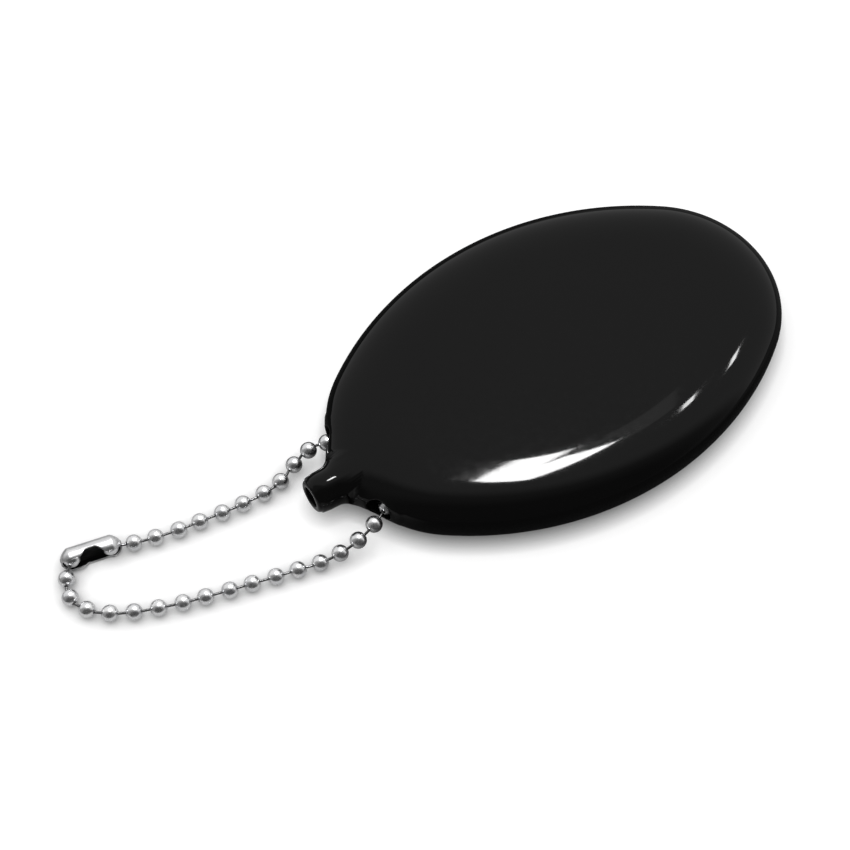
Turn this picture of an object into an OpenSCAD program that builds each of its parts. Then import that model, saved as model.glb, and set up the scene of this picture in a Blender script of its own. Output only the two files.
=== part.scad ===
// Oval squeeze coin purse of moulded vinyl, lying on its slit side, with a loop of ball chain
// The neck points along -X, the near side is -Y, and the purse rests on the plane Z = 0

/* [Purse body] */
// Length of the oval, without the neck
body_len = 72; // [68:1:78]
// Width of the oval
body_wid = 48; // [46:1:52]
// Radius of the oval's two ends, which its flatter sides run into
end_r = 18; // [17:0.5:19]
// Thickness of the closed purse
body_thk = 9; // [8.8:0.1:10]
// Thickness of the vinyl skin
skin = 1.8; // [1.5:0.1:1.9]
// Radius of the skin where the face turns into the rim
rim_r = 4.4; // [4:0.1:4.4]

/* [Neck] */
// Length of the neck beyond the oval
neck_len = 5.5; // [4.5:0.5:7]
// Outer diameter of the neck at its open end
neck_tip_d = 5; // [4.6:0.1:5.4]
// Outer diameter of the neck where it leaves the shoulder
neck_root_d = 5.8; // [5.6:0.1:6.4]
// Diameter of the hole along the neck
neck_bore_d = 3; // [2.6:0.1:3.4]
// Rounding of the neck's open end
neck_lip_r = 0.5; // [0.3:0.1:0.7]
// Width of the shoulder where it runs out into the oval
shoulder_wid = 18; // [16:0.5:18.5]
// Distance that the shoulder stands out from the oval's end
shoulder_out = 1.3; // [1:0.1:1.6]

/* [Chain holes] */
// Diameter of the two holes that the chain passes through
chain_hole_d = 3.8; // [3.6:0.1:4]
// Distance between the centres of the two holes, across the neck
chain_hole_gap = 14; // [13.5:0.25:14.5]
// Angle between each hole's axis and the length of the purse
chain_hole_turn = 29; // [26:1:32]
// Distance from the oval's end to the centres of the holes
chain_hole_in = 1.2; // [1:0.1:1.4]

/* [Slit] */
// Length of the slit
slit_len = 55; // [52:1:56]
// Width of the oval that the two lips are cut from
mouth_wid = 36; // [34:1:38]
// Width of each lip, from the slit to the line where it bends
lip_wid = 14; // [12:0.5:15]
// Thickness of the lips
lip_thk = 1.6; // [1.4:0.1:1.8]
// Height of the closed lips above the surface that the purse rests on
lip_rise = 0.3; // [0.2:0.1:0.5]
// Gap of the closed slit
slit_gap = 0.3; // [0.2:0.05:0.4]
// Gap between a lip and the skin round it
lip_clear = 0.25; // [0.2:0.05:0.4]

/* [Ball chain] */
// Diameter of the balls
ball_d = 2.4; // [2.3:0.05:2.5]
// Wall of the hollow balls
ball_wall = 0.2; // [0.15:0.01:0.22]
// Diameter of the two holes in each ball
ball_hole_d = 0.6; // [0.56:0.02:0.64]
// Diameter of the wire links
wire_d = 0.38; // [0.34:0.02:0.4]
// Diameter of the upset ends that hold the wire inside the balls
head_d = 0.72; // [0.7:0.01:0.74]
// Distance between the balls of the taut chain
taut_pitch = 3.48; // [3.45:0.01:3.5]
// Slack of the links between the purse and the near end of the connector
near_slack = 0.01; // [0.005:0.005:0.03]
// Slack of the links between the purse and the far end of the connector
far_slack = 0.02; // [0.005:0.005:0.03]
// Slack of the links inside the purse
inner_slack = 0.015; // [0.005:0.005:0.03]
// Angle that a wire can turn in its ball, beyond its rest, where the chain folds
fold_turn = 26; // [25.5:0.25:27]
// Gap between the upset ends and the edge of the hole behind them
head_gap = 0.02; // [0.01:0.005:0.03]

/* [Connector] */
// Outer diameter of the connector
conn_d = 3.3; // [3.2:0.05:3.5]
// Thickness of its sheet metal
sheet = 0.25; // [0.2:0.01:0.28]
// Gap between the connector and the balls at its ends
conn_clear = 0.1; // [0.08:0.01:0.15]
// Distance between the balls inside the connector
conn_span = 5.5; // [5.3:0.1:5.8]
// Width of the slots that let the wire into the connector's ends
conn_slot = 1.1; // [1.05:0.05:1.2]
// Diameter of the window in the connector's side
conn_window = 3; // [2.8:0.1:3.2]
// Angle of the opening above the ground
conn_tilt = 30; // [25:1:35]

/* [Hidden] */
// Balls on the near strand, inside the connector, on the far strand and inside the purse
near_balls = 16;
conn_balls = 2;
far_balls = 11;
inner_balls = 6;
ball_count = near_balls + conn_balls + far_balls + inner_balls;
// Folds of the chain: near link, near ball, far link and far ball whose holes share one fold line
folds = [[2, 2, 27, 27], [3, 4, 25, 26], [5, 6, 23, 24], [7, 8, 21, 22], [9, 10, 19, 20]];
// Links of the near and the far strand that move together, one row for each stretch between folds
near_links = [[1], [2, 3], [4, 5], [6, 7], [8, 9], [10, 11, 12, 13, 14, 15, 16]];
far_links = [[27, 28], [26], [25, 24], [23, 22], [21, 20], [19, 18]];
inner_links = [29, 30, 31, 32, 33, 34, 35];
stretches = len(folds);

function two(k) = k < 10 ? str("0", k) : str(k);

$fn = 64;
vinyl = [0.08, 0.08, 0.085];
steel = [0.78, 0.79, 0.8];
oval_fn = 128;
bore_fn = 32;
wire_fn = 16;
thin = 0.01;
past = 5;
// Depth that the shoulder's two ends are sunk in the oval and in the neck
sink = 0.1;
// Width that the core of the oval overlaps the inside of its rim
face_lap = 1;

// Arcs of the oval: centres of the ends and sides, radius of the sides, and half angle of the ends
end_centre = body_len / 2 - end_r;
side_r = (end_centre ^ 2 + (body_wid / 2) ^ 2 - end_r ^ 2) / (body_wid - 2 * end_r);
side_centre = side_r - body_wid / 2;
end_half = atan2(side_centre, end_centre);

// Distance from the middle of a ball to the middle of its wall, where each wire turns in its hole
hinge_r = (ball_d - ball_wall) / 2;
ball_in_r = ball_d / 2 - ball_wall;
hole_r = ball_hole_d / 2;
head_r = head_d / 2;
// Distance from the hinge point to the plane of the hole's inner edge
edge_in = hinge_r - sqrt(ball_in_r ^ 2 - hole_r ^ 2);
// Depth of a head behind the hinge point, where it clears the hole's edge with its wire turned by turn
function head_depth(turn, gap) =
    let (reach = edge_in * cos(turn) + hole_r * sin(turn))
    reach + sqrt(reach ^ 2 + (head_r + gap) ^ 2 - edge_in ^ 2 - hole_r ^ 2);
link_len = taut_pitch - 2 * hinge_r + 2 * head_depth(0, 0);

// Centres of the two chain holes, and the balls that lie in their mouths
chain_hole_x = chain_hole_in - body_len / 2;
chain_hole_z = body_thk / 2;
near_mouth = [chain_hole_x, -chain_hole_gap / 2, chain_hole_z] + [-1.3, -1.05, -0.65];
far_mouth = [chain_hole_x, chain_hole_gap / 2, chain_hole_z] + [0, -0.25, -0.6];
conn_r = conn_d / 2;
ball_r = ball_d / 2;

// Way that each link of the chain points, in degrees from +X, walking away from the purse
near_ways = [190, 178, 170, 167, 167, 166, 166, 165, 164, 161, 158, 151, 137, 111, 72, 47];
far_ways = [161, 188, 199, 188, 178, 174, 172, 172, 168, 164, 162];
conn_way = -12;
// Heights of the balls' centres: down from the hole, along the ground and up into the connector
near_heights = concat([near_mouth[2], 2.9, 1.9], [for (k = [4 : near_balls]) ball_r], [conn_r]);
far_heights = concat([far_mouth[2], 2.9, 1.85], [for (k = [4 : far_balls]) ball_r], [conn_r]);

// Way and heights of the chain inside the purse, walking in from the near hole and out at the far one
inner_ways = [24, 35, 59, 83, 111, 136, 157];
inner_heights = [near_mouth[2], 4.25, 3.85, 3.2, 3.2, 3.35, 3.9, far_mouth[2]];

function unit(v) = v / norm(v);
// Turn of a wire in its ball beyond its rest, if the chain folds at ball k of this link
function fold_at(link, k) =
    len([for (f = folds) if ((f[0] == link && f[1] == k) || (f[2] == link && f[3] == k)) k]) * fold_turn;
// Distance between the hinge points of two balls, where both heads clear their holes at these turns
function wire_gap(link, a, b, turn_a, turn_b) =
    link_len - head_depth(turn_a + fold_at(link, a), head_gap) - head_depth(turn_b + fold_at(link, b), head_gap);
// Balls of a strand, walked from its mouth by ways, heights and the distances between them
function walk(p, ways, heights, pitches, k = 0) =
    k == len(ways) ? [p]
    : let (run = sqrt(pitches[k] ^ 2 - (heights[k + 1] - p[2]) ^ 2))
    concat([p], walk([p[0] + run * cos(ways[k]), p[1] + run * sin(ways[k]), heights[k + 1]],
        ways, heights, pitches, k + 1));
// Axis of each ball of a walked strand, along the line between its neighbours
function axes(run, before, after) =
    let (all = concat([before], run, [after]))
    [for (k = [1 : len(run)]) unit((all[k + 1] == undef ? all[k] : all[k + 1]) - all[k - 1])];
// The distances are mended, a few times over, until each wire has the room that its two turns need
function settle(p, before, after, ways, heights, numbers, slack, pitches, rounds) =
    let (run = walk(p, ways, heights, pitches))
    rounds == 0 ? run
    : let (turned = axes(run, before, after))
    settle(p, before, after, ways, heights, numbers, slack,
        [for (k = [0 : len(ways) - 1])
            let (from = run[k] + hinge_r * turned[k], to = run[k + 1] - hinge_r * turned[k + 1])
            let (way = unit(to - from), a = numbers[k], b = numbers[k + 1])
            pitches[k] - norm(to - from) - slack
                + wire_gap(min(a, b), a, b, acos(turned[k] * way), acos(turned[k + 1] * way))],
        rounds - 1);

mend_rounds = 4;
near_numbers = [for (k = [1 : near_balls + 1]) k];
near_run = settle(near_mouth, near_mouth + taut_pitch * [cos(inner_ways[0]), sin(inner_ways[0]), 0], undef,
    near_ways, near_heights, near_numbers, near_slack, [for (way = near_ways) taut_pitch], mend_rounds);
conn_near = near_run[near_balls];
conn_far = conn_near + conn_span * [cos(conn_way), sin(conn_way), 0];
// The far strand is walked from its hole, and what it misses the connector by is shared by its links
far_numbers = [for (k = [near_balls + conn_balls + far_balls : -1 : near_balls + conn_balls]) k];
far_free = settle(far_mouth, far_mouth - taut_pitch * [cos(inner_ways[inner_balls]), sin(inner_ways[inner_balls]), 0],
    undef, far_ways, far_heights, far_numbers, far_slack, [for (way = far_ways) taut_pitch], mend_rounds);
far_miss = [conn_far[0] - far_free[far_balls][0], conn_far[1] - far_free[far_balls][1], 0];
far_run = [for (k = [0 : far_balls]) far_free[k] + far_miss * k / far_balls];
// So is what the hidden balls miss the far hole by
inner_numbers = concat([1], [for (k = [ball_count : -1 : ball_count - inner_balls]) k]);
inner_free = settle(near_mouth, near_run[1], far_run[1], inner_ways, inner_heights, inner_numbers,
    inner_slack, [for (way = inner_ways) taut_pitch], mend_rounds);
inner_miss = [far_mouth[0] - inner_free[inner_balls + 1][0], far_mouth[1] - inner_free[inner_balls + 1][1], 0];
inner_run = [for (k = [0 : inner_balls + 1]) inner_free[k] + inner_miss * k / (inner_balls + 1)];

// Centres of all balls, round the loop from the near hole: ball 1 is the first
balls = concat(near_run,
    [for (k = [far_balls : -1 : 0]) far_run[k]],
    [for (k = [inner_balls : -1 : 1]) inner_run[k]]);
function at(k) = balls[(k - 1 + ball_count) % ball_count];
// The connector parts the loop of links, so the balls inside it point along their one link
function axis(k) =
    k == near_balls + 1 ? unit(at(k) - at(k - 1))
    : k == near_balls + 2 ? unit(at(k + 1) - at(k))
    : unit(at(k + 1) - at(k - 1));
// Hinge points: the middle of the hole on each side of a ball
function hole_after(k) = at(k) + hinge_r * axis(k);
function hole_before(k) = at(k) - hinge_r * axis(k);

// Turns what points along +Z to point along v
module along(p, v) {
    translate(p)
        rotate([0, acos(v[2] / norm(v)), atan2(v[1], v[0])])
            children();
}

// Half outline of a slab with a round rim, for turning: r wide, from height low to high
module rim_profile(r, low, high, round_r) {
    intersection() {
        square([r, high]);
        union() {
            translate([0, low])
                square([r - round_r, high - low]);
            translate([0, low + round_r])
                square([r, high - low - 2 * round_r]);
            for (z = [low + round_r, high - round_r])
                translate([r - round_r, z])
                    circle(round_r);
        }
    }
}

// Sector of the slab's round rim, with a strip of its two flat faces
module rim_sector(r, inset, from, sweep) {
    rotate([0, 0, from])
        rotate_extrude(angle = sweep)
            difference() {
                rim_profile(r - inset, inset, body_thk - inset, rim_r - inset);
                square([r - rim_r - 2 * face_lap, body_thk]);
            }
}

// Oval slab that the skin is made of, with each arc and the rim drawn in by inset
module oval_slab(inset) {
    high = body_thk - 2 * inset;
    for (end = [0, 1])
        mirror([end, 0, 0])
            translate([end_centre, 0, 0]) {
                rim_sector(end_r, inset, -end_half, 2 * end_half);
                translate([0, 0, inset])
                    cylinder(r = end_r - rim_r - face_lap, h = high);
            }
    for (side = [0, 1])
        mirror([0, side, 0])
            translate([0, -side_centre, 0])
                rim_sector(side_r, inset, end_half, 180 - 2 * end_half);
    translate([0, 0, inset])
        linear_extrude(high)
            intersection() {
                translate([0, -side_centre])
                    circle(side_r - rim_r - face_lap);
                translate([0, side_centre])
                    circle(side_r - rim_r - face_lap);
                square([2 * end_centre + (end_r - rim_r) * cos(end_half), body_wid], center = true);
            }
}

// Shoulder between the oval and the neck
module shoulder(inset) {
    reach = end_r - sqrt(end_r ^ 2 - (shoulder_wid / 2) ^ 2);
    hull() {
        intersection() {
            oval_slab(inset + sink, $fn = bore_fn);
            translate([reach - body_len / 2, -body_wid / 2, 0])
                cube([thin, body_wid, body_thk]);
        }
        translate([-body_len / 2 - shoulder_out, 0, body_thk / 2])
            rotate([0, 90, 0])
                cylinder(r = neck_root_d / 2 - inset - sink, h = thin, $fn = bore_fn);
    }
}

// Neck with its rounded open end, turned about its own axis
module neck() {
    tip_r = neck_tip_d / 2;
    root_r = neck_root_d / 2;
    inside = 2;
    root = neck_len - shoulder_out;
    translate([-body_len / 2 - neck_len, 0, body_thk / 2])
        rotate([0, 90, 0])
            rotate_extrude($fn = bore_fn * 2) {
                polygon([[0, 0], [tip_r - neck_lip_r, 0], [tip_r - neck_lip_r, neck_lip_r],
                    [tip_r, neck_lip_r], [root_r, root], [root_r, root + inside],
                    [0, root + inside]]);
                translate([tip_r - neck_lip_r, neck_lip_r])
                    circle(neck_lip_r, $fn = bore_fn);
            }
}

// Outline of the opening that the two lips close
module mouth(grow) {
    intersection() {
        scale([slit_len / mouth_wid, 1])
            circle(d = mouth_wid + 2 * grow, $fn = 128);
        square([body_len, 2 * (lip_wid + grow)], center = true);
    }
}

module purse_shell() {
    color(vinyl)
        difference() {
            union() {
                oval_slab(0, $fn = oval_fn);
                shoulder(0);
                neck();
            }
            oval_slab(skin, $fn = oval_fn);
            shoulder(skin);
            translate([-body_len / 2 - neck_len - past, 0, body_thk / 2])
                rotate([0, 90, 0])
                    cylinder(d = neck_bore_d, h = neck_len + 2 * past, $fn = bore_fn);
            for (side = [-1, 1])
                translate([chain_hole_x, side * chain_hole_gap / 2, chain_hole_z])
                    rotate([0, -90, -side * chain_hole_turn])
                        translate([0, 0, -skin - 1])
                            cylinder(d = chain_hole_d, h = skin + 1 + past, $fn = bore_fn);
            translate([0, 0, -thin])
                linear_extrude(body_thk / 2)
                    mouth(lip_clear);
        }
}

// Lip of the slit, from the slit to the line where it bends
module lip(side) {
    color(vinyl)
        translate([0, 0, lip_rise])
            linear_extrude(lip_thk)
                intersection() {
                    mouth(0);
                    translate([-body_len / 2, side > 0 ? slit_gap / 2 : -body_wid - slit_gap / 2])
                        square([body_len, body_wid]);
                }
}

// Hollow ball with a hole on each side for the wires
module ball(k) {
    color(steel)
        along(at(k), axis(k))
            difference() {
                sphere(d = ball_d, $fn = 32);
                sphere(r = ball_in_r, $fn = 32);
                cylinder(d = ball_hole_d, h = ball_d + 1, center = true, $fn = wire_fn);
            }
}

// Wire link from ball k to the next, with an upset head inside each of them
module link(k) {
    a = hole_after(k);
    b = hole_before(k + 1);
    way = unit(b - a);
    first = head_depth(acos(axis(k) * way) + fold_at(k, k), head_gap);
    last = head_depth(acos(axis(k + 1) * way) + fold_at(k, k + 1), head_gap);
    depth = first + (link_len - norm(b - a) - first - last) / 2;
    color(steel)
        along(a - depth * way, way) {
            cylinder(d = wire_d, h = link_len, $fn = wire_fn);
            sphere(d = head_d, $fn = wire_fn);
            translate([0, 0, link_len])
                sphere(d = head_d, $fn = wire_fn);
        }
}

module links(list) {
    for (k = list)
        link(k);
}

// Half outline of the connector's tube, closed at both ends by its folded-in sheet
module tube_profile(r, half, round_r) {
    square([r - round_r, half]);
    square([r, half - round_r]);
    translate([r - round_r, half - round_r])
        intersection() {
            circle(round_r, $fn = bore_fn);
            square(round_r);
        }
}

// Connector of rolled sheet, open along one side, with its axis through the balls that it holds
module connector() {
    half = conn_span / 2 + ball_d / 2 + conn_clear + sheet;
    dome_r = conn_r - 0.45;
    color(steel)
        translate((conn_near + conn_far) / 2)
            rotate([0, 0, conn_way])
                difference() {
                    rotate([0, 90, 0])
                        rotate_extrude($fn = bore_fn)
                            for (end = [0, 1])
                                mirror([0, end])
                                    difference() {
                                        tube_profile(conn_r, half, dome_r);
                                        tube_profile(conn_r - sheet, half - sheet, dome_r - sheet);
                                    }
                    // Slots and round holes that the wires lie in
                    rotate([0, 90, 0])
                        cylinder(d = conn_slot, h = 2 * half + 1, center = true, $fn = wire_fn);
                    translate([-half - 1, -conn_r - 1, -conn_slot / 2])
                        cube([2 * half + 2, conn_r + 1, conn_slot]);
                    // Window in the side, and the cut that shows the near ball
                    rotate([conn_tilt, 0, 0])
                        rotate([90, 0, 0]) {
                            cylinder(d = conn_window, h = conn_d, $fn = bore_fn);
                            translate([-conn_span / 2, 0, 0])
                                cylinder(d = conn_window * 0.65, h = conn_d, $fn = bore_fn);
                        }
                }
}

purse_shell();
lip(-1);  // lip_near
lip(1);  // lip_far
for (k = [1 : ball_count])
    ball(k);
links(concat(near_links[0], far_links[0], inner_links));  // links_in_purse
for (k = [1 : stretches]) {
    links(near_links[k]);
    links(far_links[k]);
}
connector();
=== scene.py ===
import math
import bpy
import bmesh
import numpy as np
from mathutils import Matrix, Vector


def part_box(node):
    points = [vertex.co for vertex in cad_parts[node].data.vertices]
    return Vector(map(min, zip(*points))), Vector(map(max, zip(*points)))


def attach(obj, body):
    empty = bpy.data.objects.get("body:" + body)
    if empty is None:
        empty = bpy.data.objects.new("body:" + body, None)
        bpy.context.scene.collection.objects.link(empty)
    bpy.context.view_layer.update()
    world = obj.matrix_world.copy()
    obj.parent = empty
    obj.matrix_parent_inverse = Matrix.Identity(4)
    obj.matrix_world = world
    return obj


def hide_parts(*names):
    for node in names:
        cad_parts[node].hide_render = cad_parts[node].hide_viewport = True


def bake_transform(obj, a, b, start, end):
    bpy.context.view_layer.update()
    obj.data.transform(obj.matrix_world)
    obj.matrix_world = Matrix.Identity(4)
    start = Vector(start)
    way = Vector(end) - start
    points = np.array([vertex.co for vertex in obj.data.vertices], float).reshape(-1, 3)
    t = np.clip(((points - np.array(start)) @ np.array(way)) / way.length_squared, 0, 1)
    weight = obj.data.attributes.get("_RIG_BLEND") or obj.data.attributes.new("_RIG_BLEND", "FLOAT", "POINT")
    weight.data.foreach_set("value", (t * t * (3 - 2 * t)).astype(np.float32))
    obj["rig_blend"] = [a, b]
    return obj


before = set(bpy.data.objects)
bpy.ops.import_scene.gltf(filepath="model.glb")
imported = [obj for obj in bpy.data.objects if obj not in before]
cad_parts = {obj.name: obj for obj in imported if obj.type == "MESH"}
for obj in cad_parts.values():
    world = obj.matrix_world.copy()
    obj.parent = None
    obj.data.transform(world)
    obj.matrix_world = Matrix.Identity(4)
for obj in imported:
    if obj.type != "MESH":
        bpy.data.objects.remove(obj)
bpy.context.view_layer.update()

# Camera: the photographer's view, from above the near side and a little towards the neck.
# A long lens, held level, as a product is shot on a table. Its frame is square.
VIEW_TURN = math.radians(-32.58)
VIEW_HEIGHT = math.radians(57.85)
VIEW_DEPTH = 0.3105
FRAME_PIXELS, SENSOR_MM = 850, 36
FOCAL_PIXELS = 2125.0
PURSE_PIXEL = (555.46, 380.7)
back = Vector((math.sin(VIEW_TURN) * math.cos(VIEW_HEIGHT),
               -math.cos(VIEW_TURN) * math.cos(VIEW_HEIGHT), math.sin(VIEW_HEIGHT)))
right = Vector((0, 0, 1)).cross(back).normalized()
up = back.cross(right)
beside = (PURSE_PIXEL[0] - FRAME_PIXELS / 2) * VIEW_DEPTH / FOCAL_PIXELS
above = (FRAME_PIXELS / 2 - PURSE_PIXEL[1]) * VIEW_DEPTH / FOCAL_PIXELS
lens = bpy.data.cameras.new("camera")
lens.sensor_width = SENSOR_MM
lens.lens = FOCAL_PIXELS / FRAME_PIXELS * SENSOR_MM
lens.clip_start = 0.01
camera = bpy.data.objects.new("camera", lens)
bpy.context.collection.objects.link(camera)
stand = Matrix.Translation(back * VIEW_DEPTH - right * beside - up * above)
camera.matrix_world = stand @ Matrix((right, up, back)).transposed().to_4x4()
bpy.context.scene.camera = camera


# Skin: the purse's back, rim and flat face in one moulding of soft, glossy vinyl 1.8 mm thick.
# A tubular neck and two chain holes are moulded into the end; the two lips of the slit follow.
MM = 0.001
FACETS, OUTER_STEPS, INNER_STEPS = 320, 13, 8
END_R, SIDE_R, SIDE_CENTRE = 18.0, 48.0, 24.0
THICK, RIM_R, SKIN, FLAT_RING = 9.0, 4.4, 1.8, 0.5
MID = THICK / 2
CROWN_WID, CROWN_FULL = 9.5, 2.5
NECK_TIP, NECK_ROOT, NECK_R, ROOT_R, BORE_R, NECK_LIP = -41.5, -37.3, 2.5, 2.9, 1.5, 0.5
SHOULDER_X, SHOULDER_HALF, SHOULDER_HIGH, SHOULDER_DEEP = -33.6, 8.9, 3.38, 3.84
# How softly the neck flares, how much later it does so in height, how far at most and how far
# on it runs, how full it stays towards its tip, and how softly it melts into the oval
FLARE_SOFT, FLARE_LAG, FLARE_MOST, FLARE_PAST, NECK_FULL, MELT_SOFT = 1.1, 0.8, 1.3, 0.4, 5, 0.6
# Where the melted, the holed and the necked part of the end begin
MELT_FROM, HOLES_FROM, NECK_FROM = -26, -28, -30
HOLE_PLACE, HOLE_TURN, HOLE_R = (-34.8, 7.0, MID), math.radians(29), 1.9
SLIT_HALF, MOUTH_HALF, LIP_WID, LAP = 27.5, 18.0, 14.0, 0.15


def oval_point(turn, inset):
    """Point of the oval outline, drawn in by inset, whose face looks along turn"""
    way = Vector((math.cos(turn), math.sin(turn), 0))
    if abs(way.y) * END_R < abs(way.x) * SIDE_CENTRE:
        return Vector((math.copysign(END_R, way.x), 0, 0)) + (END_R - inset) * way
    return Vector((0, -math.copysign(SIDE_CENTRE, way.y), 0)) + (SIDE_R - inset) * way


def oval_depth(p):
    """Distance of a point outside the oval outline, seen from above"""
    x, y = abs(p.x), abs(p.y)
    if y * END_R < (x - END_R) * SIDE_CENTRE:
        return math.hypot(x - END_R, y) - END_R
    return math.hypot(x, y + SIDE_CENTRE) - SIDE_R


def melt(a, b, soft):
    """Lesser of two distances, with the corner between them filled in over soft"""
    mix = max(soft - abs(a - b), 0) / soft
    return min(a, b) - mix * mix * soft / 4


def slab_gap(p, inset):
    """Distance outside the oval slab, whose plain back is crowned towards the rim"""
    if not inset and p.z > MID:
        wide = max(oval_depth(p) + CROWN_WID, 0) / CROWN_WID
        tall = (p.z - MID) / MID
        full = max((wide ** CROWN_FULL + tall ** CROWN_FULL) ** (1 / CROWN_FULL), 1e-6)
        steep = math.hypot((wide / full) ** (CROWN_FULL - 1) / CROWN_WID,
                           (tall / full) ** (CROWN_FULL - 1) / MID)
        return (full - 1) / steep
    flat = max(oval_depth(p) + RIM_R, 0)
    high = max(abs(p.z - MID) - (MID - RIM_R), 0)
    return math.hypot(flat, high) - (RIM_R - inset)


def flared(past):
    """Share of the shoulder's full size, a given length past the neck's root"""
    if abs(past) < FLARE_SOFT:
        past = (past + FLARE_SOFT) ** 2 / (4 * FLARE_SOFT)
    return min(max(past, 0) / (SHOULDER_X - NECK_ROOT), FLARE_MOST)


def neck_gap(p):
    """Distance outside the neck, which widens smoothly from its open tip into the shoulder"""
    tip = max((NECK_ROOT - p.x) / (NECK_ROOT - NECK_TIP), 0)
    r = ROOT_R - (ROOT_R - NECK_R) * tip ** NECK_FULL
    wide = r + flared(p.x - NECK_ROOT) * (SHOULDER_HALF - ROOT_R)
    shoulder = SHOULDER_HIGH if p.z > MID else SHOULDER_DEEP
    high = r + flared(p.x - NECK_ROOT - FLARE_LAG) * (shoulder - ROOT_R)
    side = (math.hypot(p.y / wide, (p.z - MID) / high) - 1) * min(wide, high)
    return max(side, p.x - SHOULDER_X - FLARE_PAST)


def outer_gap(p):
    """Distance of a point outside the skin: oval and neck melted into each other"""
    gap = slab_gap(p, 0)
    if p.x < MELT_FROM:
        gap = melt(gap, neck_gap(p), MELT_SOFT)
    return gap


def inner_gap(p):
    """Distance of a point outside the pocket that the skin surrounds"""
    return slab_gap(p, SKIN)


TRIES, SETTLED, PROBE, LEAST_SQUARE, LEAST_STEEP = 12, 1e-5, 0.001, 0.2, 0.15


def settle_on(p, gap, way=None):
    """Moves a point onto a surface, straight towards it or along a way"""
    p = p.copy()
    for _ in range(TRIES):
        here = gap(p)
        if abs(here) < SETTLED:
            break
        slope = Vector([(gap(p + step) - gap(p - step)) / (2 * PROBE) for step in
                        (Vector((PROBE, 0, 0)), Vector((0, PROBE, 0)), Vector((0, 0, PROBE)))])
        if way is None:
            p -= slope * (here / max(slope.length_squared, LEAST_SQUARE))
        else:
            steep = slope.dot(way)
            if abs(steep) < LEAST_STEEP:
                steep = math.copysign(LEAST_STEEP, steep)
            p -= way * (here / steep)
    return p


def rim_profile(inset, steps):
    """Half section of the rim, from the plain back round to the slit side"""
    r = RIM_R - inset
    if inset:
        crown = [(RIM_R - r * math.sin(a), THICK - RIM_R + r * math.cos(a))
                 for a in np.linspace(0, math.pi / 2, steps + 1)]
    else:
        power = 2 / CROWN_FULL
        crown = [(CROWN_WID * (1 - math.sin(a) ** power), MID + MID * math.cos(a) ** power)
                 for a in np.linspace(0, math.pi / 2, 2 * steps + 1)]
    under = [(RIM_R - r * math.cos(a), RIM_R - r * math.sin(a))
             for a in np.linspace(0, math.pi / 2, steps + 1)]
    flat = [(crown[0][0] + FLAT_RING, crown[0][1])]
    return flat + crown + (under if inset else under[1:]) + [(RIM_R + FLAT_RING, inset)]


def boundary(bm, wanted):
    """Open edges of the mesh whose middle is wanted"""
    return [e for e in bm.edges if e.is_boundary and wanted((e.verts[0].co + e.verts[1].co) / 2)]


def draw_out(bm, edges, place):
    """Extrudes an open edge loop and puts each new corner where place says"""
    made = bmesh.ops.extrude_edge_only(bm, edges=edges)["geom"]
    for v in [v for v in made if isinstance(v, bmesh.types.BMVert)]:
        v.co = place(v.co)
    return [e for e in made if isinstance(e, bmesh.types.BMEdge) and e.is_boundary]


def rounded(bm, edges, middle, axis, radius):
    """Extrudes a loop to evenly spaced points of a circle about an axis"""
    made = bmesh.ops.extrude_edge_only(bm, edges=edges)["geom"]
    across = axis.orthogonal().normalized()
    beside = axis.cross(across)
    new = [v for v in made if isinstance(v, bmesh.types.BMVert)]
    turn = {v: math.atan2((v.co - middle).dot(beside), (v.co - middle).dot(across)) for v in new}
    new.sort(key=turn.get)
    step = 2 * math.pi / len(new)
    start = sum(turn[v] - k * step for k, v in enumerate(new)) / len(new)
    for k, v in enumerate(new):
        a = start + k * step
        out = math.cos(a) * across + math.sin(a) * beside
        v.co = middle + (v.co - middle).dot(axis) * axis + radius * out
    return [e for e in made if isinstance(e, bmesh.types.BMEdge) and e.is_boundary], new


def radially(v, middle, axis, radius, along):
    """The corner moved to a radius and a height along the axis"""
    out = (v - middle) - (v - middle).dot(axis) * axis
    return middle + out.normalized() * radius + axis * along


bm = bmesh.new()
for inset, steps in ((0, OUTER_STEPS), (SKIN, INNER_STEPS)):
    profile = rim_profile(inset, steps)
    corners = [bm.verts.new((END_R - o, 0, z)) for o, z in profile]
    lines = [bm.edges.new(pair) for pair in zip(corners, corners[1:])]
    bmesh.ops.spin(bm, geom=corners + lines, cent=(0, 0, 0), axis=(0, 0, 1), angle=2 * math.pi,
                   steps=FACETS, use_merge=True)
for v in bm.verts:
    turn, inset = math.atan2(v.co.y, v.co.x), END_R - math.hypot(v.co.x, v.co.y)
    v.co = oval_point(turn, inset) + Vector((0, 0, v.co.z))
bmesh.ops.holes_fill(bm, edges=boundary(bm, lambda c: c.z > MID), sides=0)


# The flat face runs to the mouth, turns up over its edge and joins the inner wall there.
def mouth_point(turn, grow, z):
    """Point of the mouth's outline, grown outwards, at a turn and a height"""
    y = (MOUTH_HALF + grow) * math.sin(turn)
    y = math.copysign(min(abs(y), LIP_WID + grow), y)
    return Vector(((SLIT_HALF + grow) * math.cos(turn), y, z))


def turn_of(p):
    """Turn of the oval's face at a point of the loop"""
    x, y = abs(p.x), abs(p.y)
    if y * END_R < (x - END_R) * SIDE_CENTRE:
        return math.atan2(p.y, math.copysign(x - END_R, p.x))
    return math.atan2(math.copysign(y + SIDE_CENTRE, p.y), p.x)


edge = boundary(bm, lambda c: c.z < SKIN / 2)
edge = draw_out(bm, edge, lambda c: mouth_point(turn_of(c), LAP, 0))
edge = draw_out(bm, edge, lambda c: Vector((c.x, c.y, SKIN)))


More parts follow.
